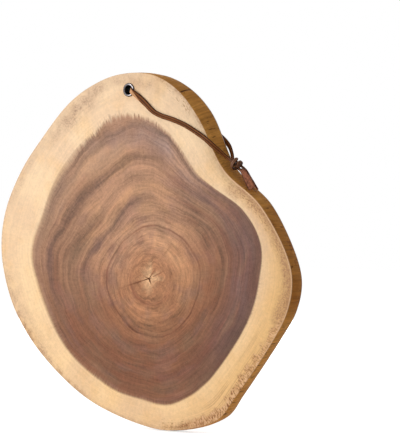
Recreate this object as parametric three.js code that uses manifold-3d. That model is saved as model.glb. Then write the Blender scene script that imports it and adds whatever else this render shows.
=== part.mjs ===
// A live-edge cutting board: one slice sawn across a small trunk, with a hole near its top that is
// lined by two metal eyelets and carries a knotted loop of flat leather lace.
// Millimetres, +Z up. The board stands on edge with its front face towards -Y, and the origin is
// the middle of the hanging hole.
import * as THREE from "three";
import { mergeVertices } from "three/addons/utils/BufferGeometryUtils.js";
import Module from "manifold-3d";

// Slab
const THICKNESS = 18;
const EDGE_RADIUS = 1.8; // sanded round on the front and back edges
const EDGE_STEPS = 3;
const BELLY = 0.7; // how far the bark side swells in mid thickness
const SLAB_SIDES = 144;
const FACE_RING = 0.5; // share of the radius at which the flat faces have a ring of points
const PITH = { x: 22, z: -165 };
// The front edge, clockwise from the top: x, z, and how far the back edge stands outside it there.
const RIM = [
  [-12, 13.8, 0],
  [24, 12.4, 0.5],
  [51, -2, 3],
  [72.5, -26.5, 6],
  [98, -70.5, 2.5],
  [134, -100.6, 1],
  [161, -145, -1.5],
  [164.5, -166, -0.8],
  [159.2, -189, -1.2],
  [146, -212, -2.6],
  [109, -261, -2.4],
  [91.6, -280.2, -1.5],
  [44, -292, 0.8],
  [10, -288.6, 1],
  [-42, -272, -0.5],
  [-80, -248, -1.5],
  [-112, -218, -0.5],
  [-133.5, -184.5, 1],
  [-144.5, -142, 1.5],
  [-140, -105.5, 0.5],
  [-121, -68, -1.5],
  [-98, -40.3, -1.4],
  [-67.5, -10, -0.8],
  [-42, 4.9, 0.5],
];
const RIM_SAMPLES = 720;

// Hole and eyelets
const HOLE_RADIUS = 4.8;
const EYELET_BORE = 4;
const BARREL_RADIUS = 4.6;
const BARREL_LENGTH = 7;
const FLANGE_RADIUS = 6.1;
const FLANGE_EDGE = 0.35; // height at which the rolled flange starts
const FLANGE_CROWN = 0.65; // height of its rolled crown above that
const FLANGE_STEPS = 8;
const SEAT_GAP = 0.1; // between the flange and the wood
const ROUND_SIDES = 48;

// Lace: a strip that lies flat at its cut ends, curls a little along its way and is drawn round in
// the knot. How far it is rolled up goes from 0, flat, to 1, round.
const LACE_WIDTH = 4.8;
const LACE_THICKNESS = 1.25;
const LACE_FLAT = 0.42; // share of its width between the rounded edges
const LACE_EDGE = 0.42; // share of its thickness left at those edges
const ROLLED = 2.2; // across the lace where it is round
const CURLED = 0.35; // how far it is rolled up on the board
const LACE_GAP = 0.7; // kept between strands in the knot
const END_GAP = 0.3; // between the two stretches where they meet in the hole
const STEPS_PER_POINT = 2;

// Knot: the front end is tied round the back end with an overhand knot.
const KNOT = new THREE.Vector3(105.6, -0.8, -66.3);
const KNOT_ALONG = new THREE.Vector3(0.77, 0, -0.638).normalize();
const KNOT_FRONT = new THREE.Vector3(0, -1, 0);
const KNOT_OUT = new THREE.Vector3().crossVectors(KNOT_FRONT, KNOT_ALONG).normalize();
const CORE_RADIUS = (ROLLED + LACE_GAP) / Math.sqrt(3); // three strands side by side
const WRAP_ROLLED = 0.6;
const WRAP_RADIUS = 4.3;
const FIRST_PASS = 90; // degrees round the knot, from KNOT_OUT towards KNOT_FRONT
const BACK_STRAND = 210;
const WRAP_TURN = 480;
const TURN_LEAD = 60; // of the wrap's turn, spent in each of the two end bends
const WRAP_HALF = 2; // half the length of the wrap along the knot
const WRAP_POINTS = 12;
const PASS_HALF = 1.4; // half the straight stretch of a strand inside the knot
const PASS_END = 4.2; // from the middle of the knot to where a strand leaves it
const PASS_FLARE = 0.1; // its share of the way out to the turns there
// An end bend of the wrap, from the strand inside to the turn outside: how far it stands beyond the
// turns, its share of the way out, and how far it has gone round and tilted over, in degrees.
const BEND = [
  { beyond: 0.9, share: 0.14, turn: 4, tilt: 35 },
  { beyond: 1.6, share: 0.54, turn: 20, tilt: 90 },
  { beyond: 0.9, share: 0.93, turn: 42, tilt: 150 },
];
const GAP_STEPS = 6; // places measured from one station of the lace to the next
const GAP_APART = 6; // along the lace, between places that count as different turns

const wasm = await Module();
wasm.setup();

function toSolid(geometry) {
  const bare = geometry.clone();
  bare.deleteAttribute("normal");
  bare.deleteAttribute("uv");
  const merged = mergeVertices(bare);
  return new wasm.Manifold(
    new wasm.Mesh({
      numProp: 3,
      vertProperties: merged.attributes.position.array,
      triVerts: new Uint32Array(merged.index.array),
    }),
  );
}

function toGeometry(solid) {
  const mesh = solid.getMesh();
  const geometry = new THREE.BufferGeometry();
  geometry.setAttribute("position", new THREE.BufferAttribute(mesh.vertProperties, 3));
  geometry.setIndex(new THREE.BufferAttribute(mesh.triVerts, 1));
  geometry.computeVertexNormals();
  return geometry;
}

// The rim as seen from the pith: the front edge's distance and the back edge's overhang at an angle.
function rimAroundPith() {
  const points = RIM.map(([x, z, overhang]) => new THREE.Vector3(x - PITH.x, z - PITH.z, overhang));
  const curve = new THREE.CatmullRomCurve3(points, true, "centripetal");
  const samples = curve.getPoints(RIM_SAMPLES).map((p) => ({
    angle: Math.atan2(p.y, p.x),
    radius: Math.hypot(p.x, p.y),
    overhang: p.z,
  }));
  samples.sort((a, b) => a.angle - b.angle);
  return (angle) => {
    const turn = 2 * Math.PI;
    const next = samples.findIndex((s) => s.angle >= angle);
    const after = next < 0 ? samples[0] : samples[next];
    const before = next <= 0 ? samples[samples.length - 1] : samples[next - 1];
    const span = (after.angle - before.angle + turn) % turn;
    const share = span > 0 ? ((angle - before.angle + turn) % turn) / span : 0;
    return {
      radius: THREE.MathUtils.lerp(before.radius, after.radius, share),
      overhang: THREE.MathUtils.lerp(before.overhang, after.overhang, share),
    };
  };
}

// Rings from the middle of the front face, over the live edge, to the middle of the back face.
// reach is the share of the rim's radius, inset is taken off it, y is the ring's depth.
function slabRings() {
  const half = THICKNESS / 2;
  const front = [];
  for (let i = 0; i <= EDGE_STEPS; i++) {
    const angle = ((Math.PI / 2) * i) / EDGE_STEPS;
    const inset = EDGE_RADIUS * (1 - Math.sin(angle));
    front.push({ reach: 1, inset, y: -half + EDGE_RADIUS * (1 - Math.cos(angle)) });
  }
  const back = front.map((ring) => ({ ...ring, y: -ring.y })).reverse();
  const middle = { reach: 1, inset: -BELLY, y: 0 };
  return [
    { reach: 0, inset: 0, y: -half },
    { reach: FACE_RING, inset: 0, y: -half },
    ...front,
    middle,
    ...back,
    { reach: FACE_RING, inset: 0, y: half },
    { reach: 0, inset: 0, y: half },
  ];
}

function slab() {
  const rings = slabRings();
  const profile = rings.map((ring) => new THREE.Vector2(ring.reach, ring.y));
  const geometry = new THREE.LatheGeometry(profile, SLAB_SIDES);
  const position = geometry.attributes.position;
  const rim = rimAroundPith();
  for (let i = 0; i < position.count; i++) {
    const ring = rings[i % rings.length];
    const side = Math.floor(i / rings.length) % SLAB_SIDES;
    const angle = Math.PI - (2 * Math.PI * side) / SLAB_SIDES;
    const { radius, overhang } = rim(angle);
    const depth = ring.y / THICKNESS + 0.5;
    const reach = ring.reach * (radius + overhang * depth) - ring.inset;
    const x = PITH.x + reach * Math.cos(angle);
    const z = PITH.z + reach * Math.sin(angle);
    position.setXYZ(i, x, ring.y, z);
  }
  const hole = new THREE.CylinderGeometry(HOLE_RADIUS, HOLE_RADIUS, 2 * THICKNESS, ROUND_SIDES);
  return toGeometry(toSolid(geometry).subtract(toSolid(hole)));
}

// A pressed eyelet on the face that side names, -1 for the front and 1 for the back: a short
// barrel in the hole under a flange whose top is rolled over.
function eyelet(side) {
  const face = THICKNESS / 2;
  const middle = (FLANGE_RADIUS + EYELET_BORE) / 2;
  const halfWidth = (FLANGE_RADIUS - EYELET_BORE) / 2;
  const section = [
    [EYELET_BORE, -BARREL_LENGTH],
    [BARREL_RADIUS, -BARREL_LENGTH],
    [BARREL_RADIUS, SEAT_GAP],
    [FLANGE_RADIUS, SEAT_GAP],
  ];
  for (let i = 0; i <= FLANGE_STEPS; i++) {
    const angle = (Math.PI * i) / FLANGE_STEPS;
    const radius = middle + halfWidth * Math.cos(angle);
    section.push([radius, FLANGE_EDGE + FLANGE_CROWN * Math.sin(angle)]);
  }
  section.push(section[0]);
  const profile = section.map(([radius, height]) => new THREE.Vector2(radius, side * (face + height)));
  if (side < 0) profile.reverse();
  return new THREE.LatheGeometry(profile, ROUND_SIDES);
}

// The route of the lace. Each station has a point, the way one flat of the lace faces there, and how
// far the lace is rolled up. Its steps fall evenly between the stations, so the close points of the
// knot get the short steps.
class LaceRoute extends THREE.CatmullRomCurve3 {
  constructor(stations) {
    super(
      stations.map((station) => station.point),
      false,
      "centripetal",
    );
    this.stations = stations;
  }
  getSpacedPoints(divisions) {
    return this.getPoints(divisions);
  }
  stationAt(share) {
    const last = this.stations.length - 1;
    const before = Math.min(Math.floor(share * last), last - 1);
    const part = share * last - before;
    const [a, b] = this.stations.slice(before, before + 2);
    return {
      facing: a.facing.clone().lerp(b.facing, part),
      rolled: THREE.MathUtils.lerp(a.rolled, b.rolled, part),
    };
  }
  // The section's x follows the lace's thickness and its y the width, and both go to ROLLED where it
  // is round.
  computeFrenetFrames(segments) {
    const frames = { tangents: [], normals: [], binormals: [] };
    for (let i = 0; i <= segments; i++) {
      const tangent = this.getTangent(i / segments);
      const { facing, rolled } = this.stationAt(i / segments);
      const normal = facing.addScaledVector(tangent, -facing.dot(tangent)).normalize();
      const binormal = new THREE.Vector3().crossVectors(tangent, normal);
      const thickness = THREE.MathUtils.lerp(1, ROLLED / LACE_THICKNESS, rolled);
      const width = THREE.MathUtils.lerp(1, ROLLED / LACE_WIDTH, rolled);
      frames.tangents.push(tangent);
      frames.normals.push(normal.multiplyScalar(thickness));
      frames.binormals.push(binormal.multiplyScalar(width));
    }
    return frames;
  }
}

const station = (point, facing, rolled = CURLED) => ({
  point: new THREE.Vector3(...point),
  facing: new THREE.Vector3(...facing),
  rolled,
});

// A station in the knot: how far along it, its share of the way from the inner strands out to the
// turns, and its angle. tilt turns the flat that faces the knot's middle towards the knot's length.
function knotStation(length, share, degrees, tilt = 0) {
  const angle = THREE.MathUtils.degToRad(degrees);
  const lean = THREE.MathUtils.degToRad(tilt);
  const outward = KNOT_OUT.clone().multiplyScalar(Math.cos(angle));
  outward.addScaledVector(KNOT_FRONT, Math.sin(angle));
  const radius = THREE.MathUtils.lerp(CORE_RADIUS, WRAP_RADIUS, share);
  const point = KNOT.clone().addScaledVector(KNOT_ALONG, length).addScaledVector(outward, radius);
  const facing = outward.multiplyScalar(-Math.cos(lean)).addScaledVector(KNOT_ALONG, Math.sin(lean));
  return { point, facing, rolled: THREE.MathUtils.lerp(1, WRAP_ROLLED, share) };
}

// The front end's way through the knot: along it, back round all the strands, and along it again.
function overhand() {
  const lastPass = FIRST_PASS - WRAP_TURN;
  const stations = [
    knotStation(-PASS_END, PASS_FLARE, FIRST_PASS),
    knotStation(-PASS_HALF, 0, FIRST_PASS),
    knotStation(PASS_HALF, 0, FIRST_PASS),
  ];
  for (const { beyond, share, turn, tilt } of BEND) {
    stations.push(knotStation(WRAP_HALF + beyond, share, FIRST_PASS - turn, tilt));
  }
  for (let i = 0; i <= WRAP_POINTS; i++) {
    const part = i / WRAP_POINTS;
    const degrees = FIRST_PASS - TURN_LEAD - (WRAP_TURN - 2 * TURN_LEAD) * part;
    stations.push(knotStation(WRAP_HALF * (1 - 2 * part), 1, degrees, 180));
  }
  for (const { beyond, share, turn, tilt } of [...BEND].reverse()) {
    stations.push(knotStation(-WRAP_HALF - beyond, share, lastPass + turn, 360 - tilt));
  }
  stations.push(
    knotStation(-PASS_HALF, 0, lastPass),
    knotStation(PASS_HALF, 0, lastPass),
    knotStation(PASS_END, PASS_FLARE, lastPass),
  );
  return stations;
}

// From the middle of the hole, out over the front eyelet, across the face, over the edge, through
// the knot and down the free end.
const FRONT_ROUTE = [
  station([2.3, -END_GAP / 2, 0], [1, 0, 0]),
  station([2.3, -5, 0], [1, 0, 0]),
  station([2.3, -8.6, 0], [1, 0, 0]),
  station([2.9, -10.9, -0.6], [0.6, 0.5, -0.4]),
  station([5.2, -11.35, -2.2], [0.1, 1, -0.1]),
  station([8.6, -10.7, -4.6], [-0.1, 1, 0.1]),
  station([13.2, -10.1, -8.2], [0, 1, 0]),
  station([19, -10.1, -13], [0, 1, 0]),
  station([23.8, -10.1, -17.4], [0, 1, 0]),
  station([28.5, -10.1, -20.8], [0, 1, 0]),
  station([35.5, -10.1, -23.7], [0, 1, 0]),
  station([46, -10.1, -26.9], [0, 1, 0]),
  station([59, -10.1, -32], [0, 1, 0]),
  station([70, -10.1, -38], [0, 1, 0]),
  station([80, -10.2, -44.2], [0, 1, 0]),
  station([87.2, -9.6, -50], [-0.25, 1, 0]),
  station([92.6, -7, -55], [-0.2, 1, -0.1], 0.5),
  station([97.2, -4.2, -59.6], [0, 1, 0], 0.7),
  ...overhand(),
  station([113.8, 1.4, -71.2], [-0.75, -0.5, -0.43], 0.5),
  station([117.4, 2.4, -77], [-0.75, -0.5, -0.43]),
  station([120.6, 3, -82], [-0.75, -0.5, -0.43]),
  station([123.8, 3.3, -87], [-0.75, -0.5, -0.43]),
];

// The same way out of the back of the hole, then straight through the knot.
const BACK_ROUTE = [
  station([2.3, END_GAP / 2, 0], [1, 0, 0]),
  station([2.3, 5, 0], [1, 0, 0]),
  station([2.3, 8.6, 0], [1, 0, 0]),
  station([2.9, 10.9, -0.6], [0.6, -0.5, -0.4]),
  station([5.2, 11.35, -2], [0.1, -1, -0.1]),
  station([8.8, 10.7, -4.1], [-0.1, -1, 0.1]),
  station([14, 10.1, -6.8], [0, -1, 0]),
  station([26, 10.1, -12.6], [0, -1, 0]),
  station([42, 10.1, -19.6], [0, -1, 0]),
  station([58, 10.1, -27.2], [0, -1, 0]),
  station([74, 10.1, -36], [0, -1, 0]),
  station([85, 10.2, -43.6], [0, -1, 0]),
  station([91.6, 9.4, -50], [-0.25, -1, 0]),
  station([95.6, 7, -55.6], [-0.2, -1, -0.1], 0.5),
  station([98.6, 4, -60.4], [0, -1, 0], 0.7),
  knotStation(-PASS_END, 0, BACK_STRAND),
  knotStation(0, 0, BACK_STRAND),
  knotStation(PASS_END, 0, BACK_STRAND),
  station([111.5, -1.2, -72.1], [0.56, -0.83, 0], 0.4),
  station([115, -2.4, -76.8], [0.56, -0.83, 0], 0.1),
  station([118.6, -3.8, -81.8], [0.56, -0.83, 0], 0),
  station([121.8, -5, -86.4], [0.56, -0.83, 0], 0),
];

// The lace's section, with its two flats joined by rounded edges.
function laceCorners() {
  const flat = { x: LACE_THICKNESS / 2, y: (LACE_FLAT * LACE_WIDTH) / 2 };
  const edge = { x: (LACE_EDGE * LACE_THICKNESS) / 2, y: LACE_WIDTH / 2 };
  return [
    new THREE.Vector2(flat.x, flat.y),
    new THREE.Vector2(edge.x, edge.y),
    new THREE.Vector2(-edge.x, edge.y),
    new THREE.Vector2(-flat.x, flat.y),
    new THREE.Vector2(-flat.x, -flat.y),
    new THREE.Vector2(-edge.x, -edge.y),
    new THREE.Vector2(edge.x, -edge.y),
    new THREE.Vector2(flat.x, -flat.y),
  ];
}

function lace(route) {
  const steps = (route.stations.length - 1) * STEPS_PER_POINT;
  return new THREE.ExtrudeGeometry(new THREE.Shape(laceCorners()), { steps, extrudePath: route });
}

// Rings of points on a lace's surface, with how far along the lace each one is.
function laceRings(route) {
  const steps = (route.stations.length - 1) * GAP_STEPS;
  const { normals, binormals } = route.computeFrenetFrames(steps);
  const rings = [];
  let travelled = 0;
  for (let i = 0; i <= steps; i++) {
    const middle = route.getPoint(i / steps);
    if (i > 0) travelled += middle.distanceTo(rings[i - 1].middle);
    const points = laceCorners().map((corner) =>
      middle.clone().addScaledVector(normals[i], corner.x).addScaledVector(binormals[i], corner.y),
    );
    rings.push({ middle, travelled, points });
  }
  return rings;
}

// The least gap between two turns of one lace.
function leastGap(route) {
  const rings = laceRings(route);
  let gap = Infinity;
  for (const ring of rings) {
    const turns = rings.filter((other) => other.travelled - ring.travelled >= GAP_APART);
    const close = turns.filter((other) => other.middle.distanceTo(ring.middle) < 2 * LACE_WIDTH);
    const points = close.flatMap((other) => other.points);
    for (const point of ring.points) {
      gap = points.reduce((least, other) => Math.min(least, point.distanceTo(other)), gap);
    }
  }
  return gap;
}

const wood = new THREE.MeshStandardMaterial({ color: 0x9a7250, roughness: 0.55 });
const gunmetal = new THREE.MeshStandardMaterial({ color: 0x3c3a38, roughness: 0.35, metalness: 1 });
const leather = new THREE.MeshStandardMaterial({ color: 0x5a3220, roughness: 0.6 });

function named(name, geometry, material) {
  const mesh = new THREE.Mesh(geometry, material);
  mesh.name = name;
  return mesh;
}

const frontRoute = new LaceRoute(FRONT_ROUTE);
const backRoute = new LaceRoute(BACK_ROUTE);
const board = new THREE.Group();
board.add(
  named("slab", slab(), wood),
  named("front_eyelet", eyelet(-1), gunmetal),
  named("back_eyelet", eyelet(1), gunmetal),
  named("lace_front", lace(frontRoute), leather),
  named("lace_back", lace(backRoute), leather),
);
console.log(`front stretch of the lace: ${frontRoute.getLength().toFixed(0)} mm`);
console.log(`back stretch of the lace: ${backRoute.getLength().toFixed(0)} mm`);
console.log(`least gap between the knot's turns: ${leastGap(frontRoute).toFixed(2)} mm`);

export default board;
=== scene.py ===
import bisect
import math
from collections import namedtuple

import bmesh
import bpy
from mathutils import Matrix, Vector, noise


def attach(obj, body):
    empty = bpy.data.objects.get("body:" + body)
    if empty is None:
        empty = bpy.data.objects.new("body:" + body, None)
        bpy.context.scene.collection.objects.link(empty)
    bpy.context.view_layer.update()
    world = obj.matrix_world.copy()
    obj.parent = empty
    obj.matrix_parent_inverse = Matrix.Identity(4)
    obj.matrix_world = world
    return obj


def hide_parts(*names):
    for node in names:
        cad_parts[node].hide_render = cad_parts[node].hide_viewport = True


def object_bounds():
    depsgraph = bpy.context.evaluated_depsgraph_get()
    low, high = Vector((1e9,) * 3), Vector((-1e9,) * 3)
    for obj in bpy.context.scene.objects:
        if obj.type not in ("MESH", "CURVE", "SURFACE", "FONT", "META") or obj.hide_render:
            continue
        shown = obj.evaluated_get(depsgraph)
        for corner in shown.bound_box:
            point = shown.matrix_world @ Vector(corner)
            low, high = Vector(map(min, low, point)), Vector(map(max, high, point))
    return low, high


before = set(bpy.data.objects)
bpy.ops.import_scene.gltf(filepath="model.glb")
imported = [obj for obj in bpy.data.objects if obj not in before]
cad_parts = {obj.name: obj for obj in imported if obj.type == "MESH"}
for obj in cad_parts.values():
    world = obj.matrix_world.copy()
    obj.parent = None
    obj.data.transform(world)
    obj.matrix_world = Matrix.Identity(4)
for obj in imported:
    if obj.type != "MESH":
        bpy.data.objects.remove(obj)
cad_box = [list(corner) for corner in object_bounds()]

MM = 0.001
TURN = 2 * math.pi
UP = Vector((0, 0, 1))

# The depth of the board's faces, in front of the hole's middle and behind it.
FACE = 9 * MM

# Camera. The frame is in pixels, and a pixel's size is the one at the eyelet.
FRAME_WIDTH = 400
FRAME_HEIGHT = 433
VIEW_AZIMUTH = math.radians(34)
VIEW_DISTANCE = 1.5
PIXEL = 0.866 * MM
EYELET_PIXEL = (128.9, 89.9)
EYELET_FRONT = Vector((0, -FACE, 0))
SENSOR = 36

# Lights, in metres and watts.
FILL = 0.4
SOFTBOX_AIM = Vector((0.02, 0, -0.14))
SOFTBOX_SIZE = 1.0
Softbox = namedtuple("Softbox", "name place power")
SOFTBOXES = [
    Softbox("front_softbox", Vector((-0.95, -1.25, 0.42)), 19.5),
    Softbox("back_softbox", Vector((-0.7, 1.4, -0.05)), 15),
]
FLOOR_SIZE = 8
FLOOR_GLOW = 0.72
FLOOR_GREY = (0.8, 0.8, 0.8, 1)
WHITE = (1, 1, 1, 1)

# Lace: its flat section, its thickness where it is rolled up, and how far it curls elsewhere. It lies
# on the faces at a depth that is given in millimetres, as its routes are, and its free ends face a way.
LACE_WIDTH = 6.6 * MM
LACE_THICKNESS = 0.9 * MM
ROLLED = 2.2 * MM
CURLED = 0.52
FLAT_CORNERS = 3.2
ROLLED_CORNERS = 2.2
LACE_SIDES = 20
LACE_STEP = 0.6 * MM
LACE_GAP = 0.7 * MM
LACE_WAVER = 0.05
WAVERS_PER_METRE = 90
LACE_LIES = 10.1
FRONT_END_FACES = (-0.75, -0.5, -0.43)
BACK_END_FACES = (0.56, -0.83, 0)

# Leather: how far along the lace the knot's grey starts and is full, the heights where the free ends'
# painted light, a lit tan, starts and is full, and how fast the raw side narrows from the hole, per
# metre.
KNOT_STARTS = (124 * MM, 132 * MM)
TAIL_STARTS = (-69 * MM, -72 * MM)
RAW_TAPER = 127
LEATHER_PORES_PER_METRE = 2600

# Knot: its middle, its three strands side by side, and the turns round them.
KNOT = Vector((105.6, -0.8, -66.3)) * MM
KNOT_ALONG = Vector((0.77, 0, -0.638)).normalized()
KNOT_FRONT = Vector((0, -1, 0))
KNOT_OUT = KNOT_FRONT.cross(KNOT_ALONG).normalized()
CORE_RADIUS = (ROLLED + LACE_GAP) / math.sqrt(3)
WRAP_RADIUS = 4.3 * MM
WRAP_ROLLED = 0.76
WRAP_HALF = 2 * MM
WRAP_POINTS = 12
WRAP_TURN = 480
TURN_LEAD = 60
FIRST_PASS = 90
BACK_STRAND = 210
PASS_HALF = 1.4 * MM
PASS_END = 4.2 * MM
PASS_FLARE = 0.1
Bend = namedtuple("Bend", "beyond share turn tilt")
BENDS = [Bend(0.9 * MM, 0.14, 4, 35), Bend(1.6 * MM, 0.54, 20, 90), Bend(0.9 * MM, 0.93, 42, 150)]

# Board. The heartwood's edge is given by x and z, in millimetres, clockwise from the top.
PITH = Vector((21.5, 0, -163)) * MM
FLAT_WALL = 7.2 * MM
EDGE_ROUND = 0.9 * MM
EDGE_STEPS = 4
EDGE_VARIES = 0.3
EDGE_VARIES_RATE = 5
BOARD_SIDES = 960
WALL_RINGS = 9
FACE_RINGS = [twentieths / 20 for twentieths in range(6, 21)] + [1.2, 1.4, 1.6, 1.8, 1.97]
SHARP_ANGLE = math.radians(40)
SAME_DEPTH = 0.01 * MM
ROUND_HEART = 112 * MM
HEART_EASE = 1.2
GROWTH_STEPS = 12
HEARTWOOD = [
    (-7, -19.5), (20, -24), (42, -38), (57, -55), (69, -71), (79.5, -80.5), (94.5, -90),
    (119, -107), (134, -133), (132, -163), (127, -181.5), (115, -206.5), (99, -228), (81, -248),
    (58, -263.5), (40, -269.5), (12.5, -266), (-14, -260.5), (-38, -248.5), (-68, -226),
    (-87.5, -198), (-99.5, -171), (-107, -142), (-96, -109), (-79.5, -74.5), (-56.5, -48.5),
    (-36.5, -32.5), (-23.5, -24),
]
HOLE_RADIUS = 4.8 * MM
HOLE_SIDES = 64

# Rings of growth that the eye can follow round the board. Each has its share of the growth, and how
# far out it lies, as degrees round the pith and a share of the way to the heartwood's edge.
Ring = namedtuple("Ring", "share course")
RINGS = [
    Ring(0.42, [
        (0, 0.47), (30, 0.44), (60, 0.425), (75, 0.4), (90, 0.375), (105, 0.36), (125, 0.352),
        (150, 0.362), (180, 0.385), (210, 0.402), (240, 0.42), (270, 0.445), (300, 0.47), (330, 0.485),
    ]),
    Ring(0.6, [
        (0, 0.68), (30, 0.69), (48, 0.67), (60, 0.625), (75, 0.57), (90, 0.54), (105, 0.52),
        (120, 0.49), (133, 0.478), (148, 0.5), (165, 0.555), (180, 0.595), (215, 0.625), (250, 0.64),
        (300, 0.64), (330, 0.66),
    ]),
    Ring(0.85, [
        (0, 0.86), (30, 0.87), (48, 0.875), (60, 0.855), (75, 0.82), (90, 0.795), (105, 0.765),
        (120, 0.78), (135, 0.79), (150, 0.824), (165, 0.863), (180, 0.893), (192, 0.905),
        (210, 0.888), (240, 0.865), (270, 0.86), (300, 0.85), (330, 0.86),
    ]),
]

# Cracks at the pith: direction in degrees, length and half width.
Crack = namedtuple("Crack", "degrees length half")
CRACKS = [
    Crack(195, 12 * MM, 0.6 * MM),
    Crack(-68, 7 * MM, 1.2 * MM),
    Crack(53, 6 * MM, 0.45 * MM),
    Crack(165, 5 * MM, 0.6 * MM),
    Crack(16, 4 * MM, 0.4 * MM),
]
CRACK_DEPTH = 0.6 * MM
CRACK_FLOOR = 0.5

# Live edge: ridges that run through the thickness, and a gentler swell, all cut inwards.
RIDGE_PER_METRE = 190
RIDGE_DEPTH = 0.22 * MM
SWELL_PER_METRE = 45
SWELL_DEPTH = 0.2 * MM
RIDGE_STRETCH = 0.16

# A dark scar across the live edge: degrees round the pith and half width.
SCAR_DEGREES = 78.6
SCAR_HALF = 1.2 * MM

# Eyelets.
EYELET_BORE = 4 * MM
BARREL_RADIUS = 4.6 * MM
BARREL_LENGTH = 7 * MM
FLANGE_RADIUS = 5.9 * MM
FLANGE_SEAT = 0.05 * MM
FLANGE_EDGE = 0.35 * MM
FLANGE_CROWN = 0.65 * MM
FLANGE_STEPS = 18
EYELET_STEPS = 96


def linear(red, green, blue):
    """A colour given in display values from 0 to 255, as the nodes take it."""
    def one(value):
        share = value / 255
        return share / 12.92 if share <= 0.04045 else ((share + 0.055) / 1.055) ** 2.4

    return (one(red), one(green), one(blue), 1)


# The heartwood's own colours from the pith out, at shares of its growth.
HEART_STOPS = [
    (0.0, linear(178, 124, 88)),
    (0.28, linear(177, 124, 88)),
    (0.5, linear(148, 98, 70)),
    (0.75, linear(132, 87, 63)),
    (1.0, linear(126, 85, 63)),
]

# Colours that are laid over them, and those of the sapwood, the live edge, the leather and the plating.
PITH_CREAM = linear(236, 192, 146)
UPPER_TAN = linear(193, 147, 115)
GOLD_TAN = linear(204, 152, 108)
KHAKI = linear(184, 150, 124)
MAUVE = linear(132, 98, 92)
PALE_MAUVE = linear(172, 144, 134)
OLIVE = linear(136, 108, 84)
RING_BROWN = linear(118, 66, 48)
RED_BROWN = linear(140, 82, 60)
GREY_BROWN = linear(102, 78, 70)
BORDER_GREY = linear(158, 126, 108)
CRACK_BROWN = linear(98, 58, 34)
STREAK_BROWN = linear(112, 64, 38)
SAP_PINK = linear(246, 213, 173)
SAP_YELLOW = linear(252, 213, 162)
SAP_GOLD = linear(240, 190, 122)
SAP_MAUVE = linear(218, 180, 150)
SAP_BROWN = linear(150, 100, 60)
SAP_GREY = linear(178, 142, 116)
RIM_MAUVE = linear(174, 126, 92)
TORN_PINK = linear(242, 198, 156)
TORN_BROWN = linear(198, 144, 96)
BARK_BROWN = linear(132, 82, 48)
EDGE_GOLD = linear(216, 152, 76)
EDGE_BROWN = linear(146, 84, 26)
EDGE_DARK = linear(66, 32, 6)
# Pale sanded wood at the front edge, also a painted highlight there.
EDGE_PALE_AND_HIGHLIGHT = linear(244, 200, 156)
# Lavender at the back edge, partly sanded wood and partly a painted reflection.
EDGE_LAVENDER_AND_REFLECTION = linear(214, 198, 196)
LEATHER = linear(86, 44, 14)
# Dark leather, also painted as shade down the lace's middle and along its edges.
LEATHER_DARK = linear(48, 18, 4)
# Paler leather for patches, also painted as highlights in lines along the lace.
LEATHER_WORN_AND_HIGHLIGHT = linear(138, 82, 36)
# Painted light: the lit tan of the lace's free ends.
LEATHER_LIT_TAN = linear(168, 104, 76)
LEATHER_GREY = linear(140, 104, 84)
LEATHER_RAW = linear(214, 160, 114)
PLATED_DARK = linear(58, 54, 54)
# Plating brighter on the eyelets' inner lips, partly where the lace bears and partly a painted
# highlight.
PLATED_WEAR_AND_HIGHLIGHT = linear(176, 170, 172)
# Painted shade for the eyelets' barrels.
BORE_SHADE = linear(20, 18, 18)

# Tones along rings of growth: share of growth, half width, change of tone, and the degrees round the
# pith that the tone is strongest at and fades out within.
Tone = namedtuple("Tone", "share half change degrees spread")
TONES = [
    Tone(0.03, 0.04, 0.12, 270, 120),
    Tone(0.06, 0.06, -0.14, 165, 40),
    Tone(0.12, 0.05, -0.1, 225, 28),
    Tone(0.13, 0.05, -0.2, 105, 35),
    Tone(0.125, 0.014, -0.14, 120, 80),
    Tone(0.17, 0.022, -0.12, 80, 90),
    Tone(0.165, 0.022, -0.16, 255, 90),
    Tone(0.205, 0.02, -0.16, 280, 100),
    Tone(0.19, 0.04, -0.14, 5, 28),
    Tone(0.15, 0.008, -0.3, 275, 45),
    Tone(0.168, 0.008, 0.26, 275, 50),
    Tone(0.19, 0.008, -0.24, 265, 60),
    Tone(0.25, 0.03, 0.12, 250, 60),
    Tone(0.28, 0.12, 0.16, 40, 80),
    Tone(0.14, 0.03, -0.1, 230, 50),
    Tone(0.36, 0.1, -0.2, 275, 75),
    Tone(0.25, 0.1, -0.14, 345, 40),
    Tone(0.42, 0.01, -0.06, 0, 360),
    Tone(0.55, 0.08, -0.17, 52, 40),
    Tone(0.55, 0.12, -0.12, 295, 70),
    Tone(0.5, 0.08, -0.1, 345, 30),
    Tone(0.44, 0.01, 0.1, 70, 70),
    Tone(0.6, 0.045, -0.3, 135, 65),
    Tone(0.6, 0.025, -0.18, 20, 55),
    Tone(0.64, 0.04, -0.16, 135, 32),
    Tone(0.66, 0.06, -0.14, 45, 30),
    Tone(0.67, 0.05, 0.14, 108, 50),
    Tone(0.72, 0.2, -0.13, 42, 40),
    Tone(0.72, 0.05, -0.16, 152, 38),
    Tone(0.78, 0.27, -0.16, 163, 34),
    Tone(0.79, 0.03, 0.1, 90, 30),
    Tone(0.84, 0.045, -0.32, 138, 82),
    Tone(0.88, 0.05, -0.06, 215, 60),
    Tone(0.91, 0.045, 0.1, 125, 42),
    Tone(0.975, 0.045, -0.22, 100, 80),
    Tone(0.96, 0.14, -0.16, 345, 70),
    Tone(0.94, 0.1, 0.16, 265, 75),
]

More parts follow.
